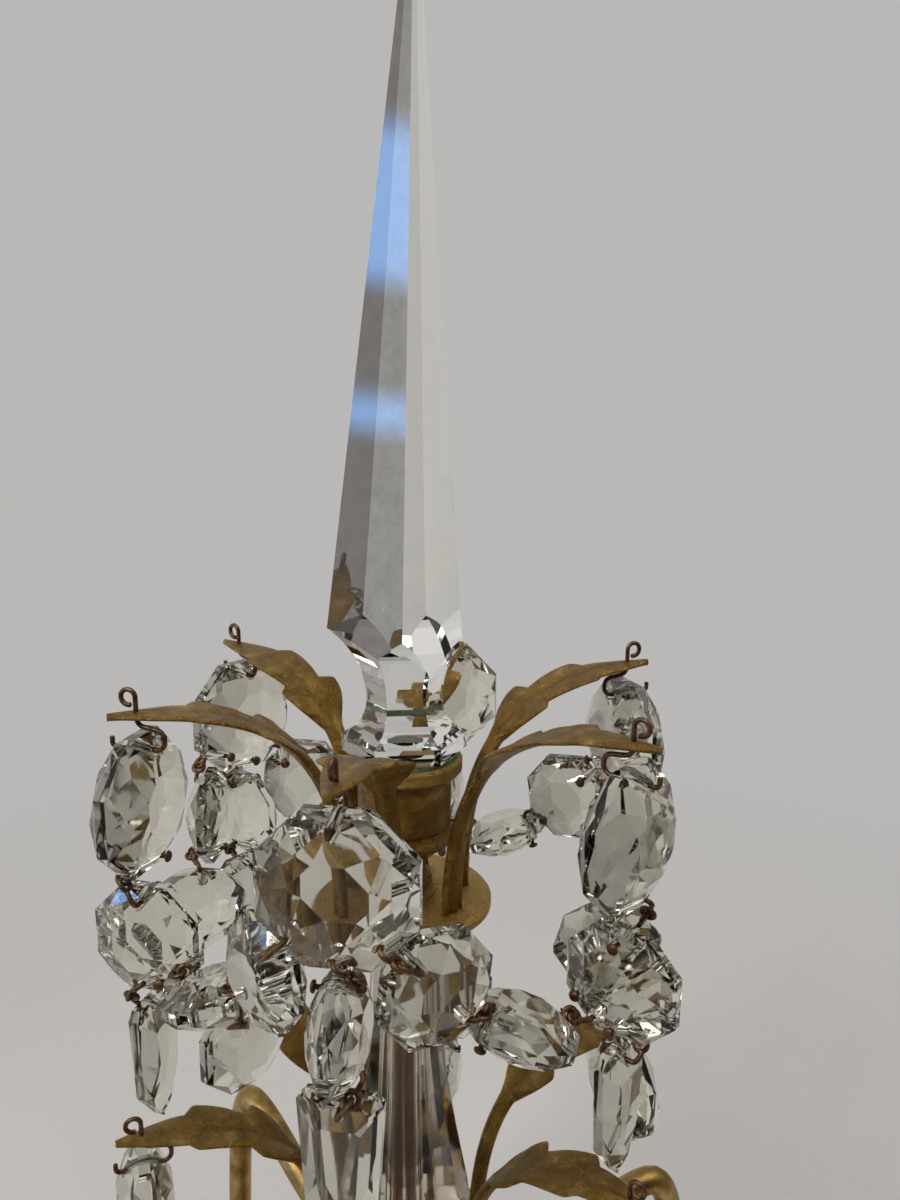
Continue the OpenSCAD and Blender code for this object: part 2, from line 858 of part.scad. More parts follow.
module bedding() {
    color("darkseagreen")
        translate([0, 0, bed_z])
            difference() {
                cylinder(h = bed_t, r = cup_rim_r - 1.2);
                translate([0, 0, -1])
                    cylinder(h = bed_t + 2, r = peg_r + peg_clear);
            }
}

// Cut spire: six flutes sweep out of the neck and are stopped by the four-sided body
module spire() {
    taper = spire_body_r / spire_body_h;
    below = 9;
    shift = -spire_body_h / 2 * sin(spire_lean);
    fluting = concat(
        [[0, -spire_band], [spire_foot_r - 0.4, -spire_band]],
        [[spire_foot_r, 0.4 - spire_band], [spire_foot_r, 0]],
        [
            for (a = [-74 : 9 : -2])
                [
                    spire_neck_r + foot_flute_r * (1 - cos(a)),
                    flute_waist + foot_flute_r * sin(a)
                ]
        ],
        [
            for (a = [0 : 6.5 : 78])
                [spire_neck_r + flute_r * (1 - cos(a)), flute_waist + flute_r * sin(a)]
        ],
        [[60, 45], [60, spire_shoulder + spire_body_h + 2], [0, spire_shoulder + spire_body_h + 2]]
    );
    color("aliceblue")
        translate([0, 0, spire_z]) {
            intersection() {
                rotate([0, 0, -90 + 6])
                    rotate([0, 0, 30])
                        rotate_extrude($fn = 6)
                            polygon(fluting);
                union() {
                    translate([0, 0, -spire_band - 1])
                        cylinder(h = spire_band + 1 + spire_shoulder - below, r = 40);
                    translate([shift, 0, spire_shoulder])
                        rotate([0, spire_lean, 0])
                            rotate([0, 0, 9 - 90])
                                translate([0, 0, -below - 1])
                                    cylinder(
                                        h = spire_body_h + below,
                                        r1 = spire_body_r + taper * (below + 1),
                                        r2 = taper,
                                        $fn = 4
                                    );
                }
            }
            translate([0, 0, -spire_band - peg_l])
                cylinder(h = peg_l + 1, r = peg_r);
        }
}

// Sub-parts of the dressing
module upper_octagons() {
    color("aliceblue")
        for (k = [0 : leaf_count - 1])
            if (k % 2 == 0) {
                facing_out(k, chain_az(k), upper_r, upper_big_z)
                    octagon(big_w, big_t, [90, 225, 270, 315]);
            } else {
                facing_out(k, chain_az(k), upper_r, upper_big_z)
                    octagon(big_w, big_t, [90, 270]);
                facing_round(k, chain_az(k), upper_r, second_z)
                    octagon(second_w, small_t, [90, 270, 270 + tie_dirs[0], 270 + tie_dirs[1]]);
            }
}

module upper_wires() {
    color("saddlebrown")
        for (k = [0 : leaf_count - 1]) {
            az = chain_az(k);
            tied = k % 2 == 0;
            next = tied ? small_top : second_top;
            leaf_hook(k, az, upper_r, upper_hook);
            link(
                [at(leaf_az(k), upper_r, 0, upper_big_z - big_hole), radial(az), pin(big_t)],
                [at(leaf_az(k), upper_r, 0, next), tangent(az), pin(small_t)]
            );
            if (!tied)
                link(
                    [at(leaf_az(k), upper_r, 0, second_z - second_hole), tangent(az), pin(small_t)],
                    [at(leaf_az(k), upper_r, 0, short_prism_z), radial(az), prism_pin]
                );
        }
}

module lower_hooks() {
    color("saddlebrown")
        for (k = [0 : leaf_count - 1])
            leaf_hook(k, leaf_az(k), lower_r, lower_hook);
}

module small_octagon(k) {
    color("aliceblue")
        facing_round(k, chain_az(k), upper_r, small_z)
            octagon(small_w, small_t, [90, 270]);
}

module small_wire(k) {
    az = leaf_az(k);
    color("saddlebrown")
        link(
            [at(az, upper_r, 0, small_z - small_hole), tangent(az), pin(small_t)],
            [at(az, upper_r, 0, long_prism_z), radial(az), prism_pin]
        );
}

module long_prism_at(k) {
    color("aliceblue")
        hung_prism(k, long_prism_z, long_prism);
}

module short_prism_at(k) {
    color("aliceblue")
        hung_prism(k, short_prism_z, short_prism);
}

module lower_octagon(k) {
    color("aliceblue") {
        facing_out(k, leaf_az(k), lower_r, lower_big_z)
            octagon(big_w, big_t, k % 2 == 0 ? [90] : [90, 270]);
        if (k % 2 == 1)
            facing_round(k, leaf_az(k), lower_r, drop_z)
                octagon(small_w, small_t, [90]);
    }
}

module lower_wire(k) {
    az = leaf_az(k);
    color("saddlebrown")
        link(
            [at(az, lower_r, 0, lower_big_z - big_hole), radial(az), pin(big_t)],
            [at(az, lower_r, 0, drop_top), tangent(az), pin(small_t)]
        );
}

felt_pad();
foot();
weight();
rod_nut();
tie_rod();
baluster();
arm_hub();
candle_arm(0);  // candle_arm_1
candle_arm(1);  // candle_arm_2
candle_arm(2);  // candle_arm_3
drip_pans();
candle_cups();
lower_plate();
lower_leaves();
column();
upper_plate();
upper_leaves();
leaf_screws();
spire_cup();
bedding();
spire();
upper_octagons();
upper_wires();
lower_hooks();
swag_beads(0, 1);  // festoon_front_right
swag_wires(0, 1);  // festoon_front_right_wires
swag_beads(0, -1);  // festoon_front_left
swag_wires(0, -1);  // festoon_front_left_wires
swag_beads(2, 1);  // festoon_back_right
swag_wires(2, 1);  // festoon_back_right_wires
swag_beads(2, -1);  // festoon_right
swag_wires(2, -1);  // festoon_right_wires
swag_beads(4, 1);  // festoon_left
swag_wires(4, 1);  // festoon_left_wires
swag_beads(4, -1);  // festoon_back_left
swag_wires(4, -1);  // festoon_back_left_wires
small_octagon(0);  // small_octagon_1
small_wire(0);  // small_octagon_1_wire
long_prism_at(0);  // long_prism_1
small_octagon(2);  // small_octagon_2
small_wire(2);  // small_octagon_2_wire
long_prism_at(2);  // long_prism_2
small_octagon(4);  // small_octagon_3
small_wire(4);  // small_octagon_3_wire
long_prism_at(4);  // long_prism_3
short_prism_at(1);  // short_prism_1
short_prism_at(3);  // short_prism_2
short_prism_at(5);  // short_prism_3
lower_octagon(0);  // lower_octagon_1
lower_octagon(1);  // lower_octagon_2
lower_octagon(2);  // lower_octagon_3
lower_octagon(3);  // lower_octagon_4
lower_octagon(4);  // lower_octagon_5
lower_octagon(5);  // lower_octagon_6
lower_wire(1);  // lower_octagon_2_wire
lower_wire(3);  // lower_octagon_4_wire
lower_wire(5);  // lower_octagon_6_wire
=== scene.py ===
"""Looks of the girandole: materials, finer leaves, arms and wires, studio and camera."""
import json
import math

import bpy
from mathutils import Matrix, Vector


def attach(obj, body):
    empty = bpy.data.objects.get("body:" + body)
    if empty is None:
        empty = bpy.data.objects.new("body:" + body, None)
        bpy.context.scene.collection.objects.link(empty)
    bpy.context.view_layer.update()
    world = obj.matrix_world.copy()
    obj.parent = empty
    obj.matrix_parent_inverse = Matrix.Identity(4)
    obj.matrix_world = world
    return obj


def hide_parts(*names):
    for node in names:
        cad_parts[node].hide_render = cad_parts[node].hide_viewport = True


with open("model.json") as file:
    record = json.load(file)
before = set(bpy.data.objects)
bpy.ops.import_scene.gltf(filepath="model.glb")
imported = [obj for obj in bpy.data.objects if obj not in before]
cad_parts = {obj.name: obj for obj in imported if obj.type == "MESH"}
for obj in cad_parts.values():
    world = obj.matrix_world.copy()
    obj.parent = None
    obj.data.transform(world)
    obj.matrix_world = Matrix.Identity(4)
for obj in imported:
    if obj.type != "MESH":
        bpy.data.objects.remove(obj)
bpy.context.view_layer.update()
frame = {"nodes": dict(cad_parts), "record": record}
MM = 0.001

# Sizes shared with the solids, in millimetres
LEAF_TURN = -8.8
LEAF_COUNT = 6
ARM_COUNT = 3
UPPER_FOOT_R, UPPER_REACH, UPPER_SEAT = 17.5, 78.0, 298.0
LOWER_FOOT_R, LOWER_REACH, LOWER_SEAT = 24.0, 83.0, 177.0
LEAF_RISE, LEAF_W, LEAF_T = 61.3, 21.0, 3.4
HOOK_AT, HOOK_DROP = 0.93, 8.8
LOBE_END = (0, 0.36, 0.57, 0.79, 1)
LOBE_FROM = (0.36, 0.32, 0.62, 0.56, 0.08)
LOBE_EAR = (0.3, 1, 0.84)
EAR_AT = 0.86
ARM_TURN = -6.0
ARM_R, ARM_Z, ARM_ARCH, ARM_DROP, ARM_DIP, ARM_FROM = 4.5, 157.0, 24.0, 105.0, 15.0, 19.05
ARCH_REACH, CANDLE_REACH = 84.0, 135.0
COLLAR_R, COLLAR_T = 7.5, 3.0
TENON_R, TENON_FROM = 3.6, 8.0
BIG_W, BIG_T = 36.0, 15.0
SMALL_W, SECOND_W, SWAG_W, SMALL_T = 27.0, 30.0, 27.5, 12.0
PRISM_T = 8.0
PEG_HOLE_R, BED_R, BED_Z, BED_T = 5.4, 15.1, 340.0, 1.4
WIRE_R, WIRE_OUT = 0.65, 1.8
HOLE_IN, BEAD_GAP = 3.7, 1.9
SECOND_GAP, FIRST_GAP, MIDDLE_GAP = 3.0, 0.8, 1.2
HANG_TURN = (0, 0, 0, 0, 0, -35.0)
FIRST_WAY, MIDDLE_WAY, LAST_WAY = -52.0, -42.0, -20.0
TIE_DIRS = (28.0, 62.0)


def srgb(r, g, b):
    """Linear colour of an 8-bit screen colour."""
    def one(c):
        c = c / 255
        return c / 12.92 if c <= 0.04045 else ((c + 0.055) / 1.055) ** 2.4
    return (one(r), one(g), one(b), 1.0)


class Shader:
    """Small helper to write a material's node tree."""

    def __init__(self, name):
        self.material = bpy.data.materials.new(name)
        self.material.use_nodes = True
        self.tree = self.material.node_tree
        self.surface = self.tree.nodes["Principled BSDF"]

    def node(self, kind, **values):
        made = self.tree.nodes.new(kind)
        for key, value in values.items():
            if key in made.inputs:
                made.inputs[key].default_value = value
            else:
                setattr(made, key, value)
        return made

    def join(self, source, target):
        self.tree.links.new(source, target)

    def place(self):
        return self.node("ShaderNodeTexCoord").outputs["Object"]

    def noise(self, scale, detail=4.0, rough=0.5):
        made = self.node("ShaderNodeTexNoise")
        made.inputs["Scale"].default_value = scale
        made.inputs["Detail"].default_value = detail
        made.inputs["Roughness"].default_value = rough
        self.join(self.place(), made.inputs["Vector"])
        return made.outputs["Fac"]

    def ramp(self, source, stops):
        made = self.node("ShaderNodeValToRGB")
        points = made.color_ramp.elements
        while len(points) < len(stops):
            points.new(0.5)
        for point, (where, colour) in zip(points, stops):
            point.position = where
            point.color = colour
        self.join(source, made.inputs["Fac"])
        return made.outputs["Color"]

    def span(self, source, low, high, to_low, to_high):
        made = self.node("ShaderNodeMapRange")
        ends = ("From Min", "From Max", "To Min", "To Max")
        for name, value in zip(ends, (low, high, to_low, to_high)):
            made.inputs[name].default_value = value
        self.join(source, made.inputs["Value"])
        return made.outputs["Result"]

    def mix(self, factor, a, b):
        made = self.node("ShaderNodeMix", data_type="RGBA")
        self.join(factor, made.inputs["Factor"])
        for socket, value in (("A", a), ("B", b)):
            if isinstance(value, tuple):
                made.inputs[socket].default_value = value
            else:
                self.join(value, made.inputs[socket])
        return made.outputs["Result"]

    def bump(self, source, strength, distance):
        made = self.node("ShaderNodeBump")
        made.inputs["Strength"].default_value = strength
        made.inputs["Distance"].default_value = distance
        self.join(source, made.inputs["Height"])
        self.join(made.outputs["Normal"], self.surface.inputs["Normal"])

    def set(self, **values):
        for name, value in values.items():
            self.surface.inputs[name.replace("_", " ")].default_value = value


def brass(name, dark, middle, bright, rough_low, rough_high, grain):
    """Cast brass: patchy old gold, granular, brighter on worn edges."""
    s = Shader(name)
    s.set(Metallic=1.0)
    patches = s.ramp(s.noise(150.0, 8.0, 0.65), [(0.3, dark), (0.55, middle), (0.8, bright)])
    edges = s.node("ShaderNodeNewGeometry").outputs["Pointiness"]
    worn = s.span(edges, 0.52, 0.6, 0.0, 0.75)
    s.join(s.mix(worn, patches, bright), s.surface.inputs["Base Color"])
    s.join(s.span(s.noise(220.0), 0.35, 0.65, rough_low, rough_high), s.surface.inputs["Roughness"])
    s.bump(s.noise(800.0, 8.0, 0.75), grain, 0.001)
    return s.material


def glass(name, clear, shade, ior, rough):
    """Clear cut glass with faint tint and a little wear."""
    s = Shader(name)
    s.set(Transmission_Weight=1.0, IOR=ior, Specular_IOR_Level=0.5)
    s.join(s.ramp(s.noise(45.0), [(0.35, clear), (0.7, shade)]), s.surface.inputs["Base Color"])
    s.join(s.span(s.noise(160.0), 0.4, 0.75, rough * 0.2, rough), s.surface.inputs["Roughness"])
    return s.material


def shade_painted_glass(name, clear, shade, painted_shade_tint, facing, ior):
    """Clear glass with painted shade on one flat face, given by its outward normal: that face is
    tinted darker and mottled, standing in for the dark room it reflects.
    """
    s = Shader(name)
    s.set(Transmission_Weight=1.0, IOR=ior, Specular_IOR_Level=0.5)
    surface = s.node("ShaderNodeNewGeometry")
    towards = s.node("ShaderNodeVectorMath", operation="DOT_PRODUCT")
    s.join(surface.outputs["True Normal"], towards.inputs[0])
    towards.inputs[1].default_value = facing
    on_face = s.span(towards.outputs["Value"], 0.94, 0.97, 0.0, 1.0)
    outside = s.node("ShaderNodeMath", operation="SUBTRACT")
    outside.inputs[0].default_value = 1.0
    s.join(surface.outputs["Backfacing"], outside.inputs[1])
    # Painted shade: the outer side of that one face gets a darker, mottled tint in place of the dark
    # room it reflects
    painted_shade_mask = s.node("ShaderNodeMath", operation="MULTIPLY")
    s.join(on_face, painted_shade_mask.inputs[0])
    s.join(outside.outputs["Value"], painted_shade_mask.inputs[1])
    clean = s.ramp(s.noise(45.0), [(0.35, clear), (0.7, shade)])
    painted_shade_mottle = s.ramp(s.noise(260.0, 6.0, 0.7), [(0.3, painted_shade_tint), (0.7, [0.6 * c for c in painted_shade_tint])])
    s.join(s.mix(painted_shade_mask.outputs["Value"], clean, painted_shade_mottle), s.surface.inputs["Base Color"])
    s.join(s.span(s.noise(160.0), 0.45, 0.75, 0.0, 0.05), s.surface.inputs["Roughness"])
    return s.material


def plain(name, low, high, scale, rough, metallic, grain):
    """Mottled surface for wire, felt, iron and bedding."""
    s = Shader(name)
    s.set(Metallic=metallic, Roughness=rough)
    s.join(s.ramp(s.noise(scale, 5.0), [(0.35, low), (0.65, high)]), s.surface.inputs["Base Color"])
    s.bump(s.noise(scale * 6), grain, 0.0003)
    return s.material


MATERIALS = {
    "brass": brass(
        "old_gold",
        dark=srgb(102, 77, 33),
        middle=srgb(138, 108, 52),
        bright=srgb(198, 165, 94),
        rough_low=0.2,
        rough_high=0.4,
        grain=0.8,
    ),
    "gilt": brass(
        "pale_gilt",
        dark=srgb(116, 90, 46),
        middle=srgb(168, 138, 82),
        bright=srgb(212, 186, 132),
        rough_low=0.28,
        rough_high=0.45,
        grain=0.2,
    ),
    "hardware": brass(
        "dark_brass",
        dark=srgb(66, 42, 20),
        middle=srgb(110, 74, 36),
        bright=srgb(150, 108, 58),
        rough_low=0.3,
        rough_high=0.5,
        grain=0.2,
    ),
    "wire": plain("brown_wire", srgb(70, 50, 34), srgb(126, 94, 66), 700.0, 0.42, 0.85, 0.2),
    "glass": glass("cut_glass", (0.77, 0.76, 0.69, 1), (0.67, 0.66, 0.59, 1), 1.52, 0.08),
    "column_glass": glass("column_glass", (0.7, 0.65, 0.56, 1), (0.6, 0.55, 0.46, 1), 1.5, 0.22),
    # Spire glass: one face carries painted shade, a darker tint standing in for the dark room it
    # reflects
    "clear_glass": shade_painted_glass(
        "spire_glass",
        clear=(0.95, 0.95, 0.94, 1),
        shade=(0.91, 0.91, 0.9, 1),
        painted_shade_tint=(0.34, 0.34, 0.35, 1),
        facing=(-0.605, -0.79, 0.098),
        ior=1.5,
    ),
    "felt": plain("felt", srgb(28, 52, 34), srgb(44, 74, 50), 900.0, 0.95, 0.0, 0.5),
    "iron": plain("cast_iron", srgb(48, 46, 44), srgb(84, 82, 80), 400.0, 0.6, 0.9, 0.4),
    "bedding": plain("verdigris", srgb(50, 80, 62), srgb(104, 132, 104), 500.0, 0.8, 0.0, 0.4),
}
OWN_GLASS = {"spire": "clear_glass", "column": "column_glass"}
SLOTS = {p["node"]: p["material_slot"] for p in frame["record"]["subparts"]}
BODIES = {
    node: body
    for body, nodes in frame["record"]["behaviour"]["bodies"].items()
    for node in nodes
}


def dress(obj, slot):
    """One material over the whole piece."""
    obj.data.materials.clear()
    obj.data.materials.append(MATERIALS[slot])


for name, obj in frame["nodes"].items():
    dress(obj, OWN_GLASS.get(name, SLOTS[name]))


def stand_in(node, data):
    """A new piece that takes a solid's place, body and finish."""
    piece = bpy.data.objects.new(node + "_fine", data)
    bpy.context.scene.collection.objects.link(piece)
    dress(piece, SLOTS[node])
    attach(piece, BODIES[node])
    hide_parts(node)


# Places round the stem: azimuth 0 is the front, -Y
def radial(az):
    a = math.radians(az)
    return Vector((math.sin(a), -math.cos(a), 0))


def tangent(az):
    a = math.radians(az)
    return Vector((math.cos(a), math.sin(a), 0))


def at(az, r, t, z):
    return radial(az) * r + tangent(az) * t + Vector((0, 0, z))


def leaf_az(k):
    return LEAF_TURN + 360 / LEAF_COUNT * k


def arm_az(k):
    return leaf_az(2 * k) + ARM_TURN


def chain_az(k):
    return leaf_az(k) + HANG_TURN[k % LEAF_COUNT]


def mix(a, b, f):
    return a + (b - a) * f


def curve(c, t):
    """Point of a cubic curve in the plane of a leaf or arm: radius and height."""
    u = 1 - t
    return c[0] * u ** 3 + c[1] * (3 * u * u * t) + c[2] * (3 * u * t * t) + c[3] * t ** 3


def curve_way(c, t):
    u = 1 - t
    return ((c[1] - c[0]) * u * u + (c[2] - c[1]) * (2 * u * t) + (c[3] - c[2]) * t * t).normalized()


class Solid:
    """Mesh data gathered from several skins over rings of equal point count."""

    def __init__(self, name):
        self.name = name
        self.verts = []
        self.faces = []

    def band(self, rings):
        """Skin without end caps."""
        count = len(rings[0])
        start = len(self.verts)
        self.verts.extend(p * MM for ring in rings for p in ring)
        for i in range(len(rings) - 1):
            for j in range(count):
                a = start + i * count + j
                b = start + i * count + (j + 1) % count
                self.faces.append((a, b, b + count, a + count))
        return start, start + (len(rings) - 1) * count, count

    def skin(self, rings):
        """Skin with both ends capped."""
        first, last, count = self.band(rings)
        self.faces.append(tuple(range(first + count - 1, first - 1, -1)))
        self.faces.append(tuple(range(last, last + count)))

    def data(self, smooth=True):
        mesh = bpy.data.meshes.new(self.name)
        mesh.from_pydata([tuple(v) for v in self.verts], [], self.faces)
        mesh.validate()
        if smooth:
            mesh.shade_smooth()
        return mesh


# Leaves: the solids' line and lobes, with smooth ears, a grooved rib, veins and fluted stalks.
# Places across a leaf are shares of its half width, from 0 at the rib to 1 at the edge.
LEAF_STEPS, LEAF_HALF_STEPS = 26, 9
LEAF_ACROSS = [
    math.sin(math.pi / 2 * u / LEAF_HALF_STEPS)
    for u in range(-LEAF_HALF_STEPS, LEAF_HALF_STEPS + 1)
]
LINE_UP, LINE_OUT = 0.86, 0.44
TIP_CURVE, EAR_CURVE = 1.6, 1.3
LEAF_LEAD, LEAD_CURVE = 0.05, 1.5
LEAF_LIFT, FLAT_HALF = 0.2, 0.22
RIB_FOOT, RIB_TIP, RIB_END = 1.15, 0.6, 0.3
GROOVE_DEPTH = 0.2
EDGE_T, EDGE_FROM, EDGE_ROUND = 0.5, 0.8, 0.6
VEINS, VEIN_H, VEIN_FROM = 3, 0.2, 0.25
FLUTE_DEPTH, FLUTE_AT, FLUTE_HALF = 0.6, 0.45, 0.2


def leaf_line(foot, reach):
    return [
        Vector((foot, 0)),
        Vector((foot, LEAF_RISE * LINE_UP)),
        Vector((foot + (reach - foot) * LINE_OUT, LEAF_RISE)),
        Vector((reach, LEAF_RISE)),
    ]


def lobe_half(i, s):
    if i == 3:
        return mix(LOBE_FROM[3], LOBE_FROM[4], s ** TIP_CURVE)
    if s <= EAR_AT:
        return mix(LOBE_FROM[i], LOBE_EAR[i], math.sin(math.pi / 2 * s / EAR_AT))
    return mix(LOBE_EAR[i], LOBE_FROM[i + 1], ((s - EAR_AT) / (1 - EAR_AT)) ** EAR_CURVE)


def leaf_ring(az, seat, line, t, half, vein):
    """Section of a leaf at t along its line, upper side first."""
    lift = LEAF_LIFT * max(0.0, half - LEAF_W * FLAT_HALF)
    rib = LEAF_T * mix(RIB_FOOT, RIB_TIP, t) / 2
    groove = LEAF_T * GROOVE_DEPTH * math.sin(math.pi * t)
    edge = rib * EDGE_T
    top, bottom = [], []
    for u in LEAF_ACROSS:
        side = abs(u)
        along = t + LEAF_LEAD * side ** LEAD_CURVE * min(1.0, 3 * t) * (1 - t)
        p = curve(line, along)
        way = curve_way(line, along)
        up = Vector((-way[1], way[0]))
        fall = math.cos(math.pi / 2 * min(1.0, side / RIB_END)) ** 2
        round_off = edge * EDGE_ROUND * max(0.0, (side - EDGE_FROM) / (1 - EDGE_FROM)) ** 2
        high = mix(rib, lift + edge, max(0.0, side - RIB_END) / (1 - RIB_END))
        high -= groove * fall + round_off
        high += vein * math.sin(math.pi * max(0.0, side - VEIN_FROM) / (1 - VEIN_FROM))
        flute = math.exp(-(((side - FLUTE_AT) / FLUTE_HALF) ** 2))
        low = mix(-rib, lift - edge, side) + round_off + FLUTE_DEPTH * (1 - t) * flute
        for rows, h in ((top, high), (bottom, low)):
            rows.append(at(az, p[0] + up[0] * h, u * half, seat + p[1] + up[1] * h))
    return top + bottom[::-1]


def leaf_crown(node, foot, reach, seat):
    solid = Solid(node + "_fine")
    line = leaf_line(foot, reach)
    for k in range(LEAF_COUNT):
        rings = []
        for i in range(4):
            for step in range(LEAF_STEPS):
                s = step / LEAF_STEPS
                t = mix(LOBE_END[i], LOBE_END[i + 1], s)
                vein = VEIN_H * math.cos(2 * math.pi * VEINS * s) if 0 < i < 3 else 0.0
                rings.append(leaf_ring(leaf_az(k), seat, line, t, lobe_half(i, s) * LEAF_W / 2, vein))
        rings.append(leaf_ring(leaf_az(k), seat, line, 1, LOBE_FROM[4] * LEAF_W / 2, 0.0))
        solid.skin(rings)
    stand_in(node, solid.data())


leaf_crown("upper_leaves", UPPER_FOOT_R, UPPER_REACH, UPPER_SEAT)
leaf_crown("lower_leaves", LOWER_FOOT_R, LOWER_REACH, LOWER_SEAT)

# Candle arms: smooth tapering tubes with a turned collar under each pan, as heights and radii
ARM_SIDES, ARM_STEPS = 28, 30
ARM_TAPER = 0.85
COLLAR = (
    (-1.0, 5.6),
    (-0.8, COLLAR_R - 0.6),
    (-0.2, COLLAR_R),
    (1.9, COLLAR_R),
    (2.6, COLLAR_R - 0.5),
    (COLLAR_T, 6.6),
)
ARM_LOW = -ARM_DROP - ARM_DIP
ARM_LINES = [
    [(ARM_FROM, 0), (ARCH_REACH * 0.62, 0), (ARCH_REACH * 0.82, ARM_ARCH), (ARCH_REACH, ARM_ARCH)],
    [
        (ARCH_REACH, ARM_ARCH),
        (ARCH_REACH * 1.24, ARM_ARCH),
        (CANDLE_REACH * 0.645, ARM_LOW),
        (CANDLE_REACH * 0.867, ARM_LOW),
    ],
    [
        (CANDLE_REACH * 0.867, ARM_LOW),
        (CANDLE_REACH * 0.963, ARM_LOW),
        (CANDLE_REACH, -ARM_DROP - ARM_DIP * 0.67),
        (CANDLE_REACH, -ARM_DROP),
    ],
]


def ring_about(az, p, way, r, sides):
    up = Vector((-way[1], way[0]))
    ring = []
    for i in range(sides):
        a = 2 * math.pi * i / sides
        q = p + up * (r * math.sin(a))
        ring.append(at(az, q[0], -r * math.cos(a), ARM_Z + q[1]))
    return ring


def candle_arm(k):
    node = "candle_arm_%d" % (k + 1)
    az = arm_az(k)
    solid = Solid(node + "_fine")
    rings = [ring_about(az, Vector((TENON_FROM, 0)), Vector((1, 0)), TENON_R, ARM_SIDES)]
    rings.append(ring_about(az, Vector((ARM_FROM, 0)), Vector((1, 0)), TENON_R, ARM_SIDES))
    for i, points in enumerate(ARM_LINES):
        line = [Vector(p) for p in points]
        for step in range(ARM_STEPS + (1 if i == 2 else 0)):
            t = step / ARM_STEPS
            r = mix(ARM_R, ARM_R * ARM_TAPER, (i + t) / len(ARM_LINES))
            rings.append(ring_about(az, curve(line, t), curve_way(line, t), r, ARM_SIDES))
    solid.skin(rings)
    solid.skin(
        [
            ring_about(az, Vector((CANDLE_REACH, h - ARM_DROP)), Vector((0, 1)), r, ARM_SIDES)
            for h, r in COLLAR
        ]
    )
    stand_in(node, solid.data())


for k in range(ARM_COUNT):
    candle_arm(k)

# Wires: the solids' paths, round in section; each pin has a head and two pins meet in linked eyes
BEND_STEPS = 8
EYE_STEPS = 22
EYE_R = 1.65
EYE_APART = 1.7
EYE_NECK, EYE_CLOSED = 0.5, 0.97
PIN_SHARE, PIN_BEND = 0.36, 1.6
HOOK_BENDS = (1.95, 1.95, 1.95, 2.3, 2.3, 2.3, 1.2)
HEAD_IN = 0.7
HEAD = ((0.95, 1.2), (0.8, 1.9), (0.45, 2.35), (0.1, 2.35), (0.0, 1.0))
PRISM_EYES_OUT, CHAIN_EYES_OUT, TIE_EYES_OUT = 2.0, 1.2, 1.4


def rounded(points, bends):
    """Points of a path whose corners are rounded to their own radii."""
    way = [(points[i + 1] - points[i]).normalized() for i in range(len(points) - 1)]
    path = [points[0]]
    for i, bend in enumerate(bends, 1):
        turn = way[i - 1].angle(way[i])
        inward = (way[i] - way[i - 1] * way[i].dot(way[i - 1])).normalized()
        start = points[i] - way[i - 1] * (bend * math.tan(turn / 2))
        for step in range(BEND_STEPS + 1):
            a = turn * step / BEND_STEPS
            path.append(start + (way[i - 1] * math.sin(a) + inward * (1 - math.cos(a))) * bend)
    path.append(points[-1])
    return path


def wires(node, strands):
    """Strands are lists of points, each with its share of the wire's radius."""
    data = bpy.data.curves.new(node + "_fine", "CURVE")
    data.dimensions = "3D"
    data.bevel_depth = WIRE_R * MM
    data.bevel_resolution = 3
    data.use_fill_caps = True
    for strand in strands:
        spline = data.splines.new("POLY")
        spline.points.add(len(strand) - 1)
        for point, (p, share) in zip(spline.points, strand):
            point.co = (p.x * MM, p.y * MM, p.z * MM, 1)
            point.radius = share
    stand_in(node, data)


def even(path):
    return [(p, 1.0) for p in path]


def eyed_pin(hole, middle, way):
    """Headed pin through a hole, bent towards the middle of the link and closed in an eye there."""
    centre, axis, half = hole
    back = centre - axis * (half - HEAD_IN)
    eye = middle - way * (EYE_APART / 2)
    neck = eye - way * (EYE_R + EYE_NECK)
    aside = (axis - way * axis.dot(way)).normalized()
    stem = rounded([back, centre + axis * half, neck], [PIN_BEND])
    ring = []
    for step in range(EYE_STEPS + 1):
        a = math.pi + 2 * math.pi * EYE_CLOSED * step / EYE_STEPS
        ring.append(eye + way * (EYE_R * math.cos(a)) + aside * (EYE_R * math.sin(a)))
    head = [(back - axis * along, share) for along, share in HEAD]
    return head + even(stem[1:]) + even(ring)


def link(a, b, shift=Vector()):
    """Two eyed pins whose eyes meet halfway, moved by shift to clear the glass.

    A hole is its centre, its axis on the leg's side and half the pin's length.
    """
    start = a[0] + a[1] * a[2]
    end = b[0] + b[1] * b[2]
    way = (end - start).normalized()
    middle = (start + end) / 2 + shift
    return [eyed_pin(a, middle, way), eyed_pin(b, middle, -way)]


def pin(t):
    return t * PIN_SHARE + WIRE_OUT


PRISM_PIN = pin(PRISM_T)
upper_r, upper_rise = curve(leaf_line(UPPER_FOOT_R, UPPER_REACH), HOOK_AT)
lower_r, lower_rise = curve(leaf_line(LOWER_FOOT_R, LOWER_REACH), HOOK_AT)
upper_hook = UPPER_SEAT + upper_rise
lower_hook = LOWER_SEAT + lower_rise
big_hole = BIG_W / 2 - HOLE_IN
small_hole = SMALL_W / 2 - HOLE_IN
second_hole = SECOND_W / 2 - HOLE_IN
swag_hole = SWAG_W / 2 - HOLE_IN
link_l = 2 * HOLE_IN + BEAD_GAP
upper_big_z = upper_hook - HOOK_DROP - big_hole
small_top = upper_big_z - big_hole - link_l
small_low = small_top - 2 * small_hole
second_top = upper_big_z - big_hole - link_l - SECOND_GAP
second_z = second_top - second_hole
second_low = second_z - second_hole
lower_big_z = lower_hook - HOOK_DROP - big_hole


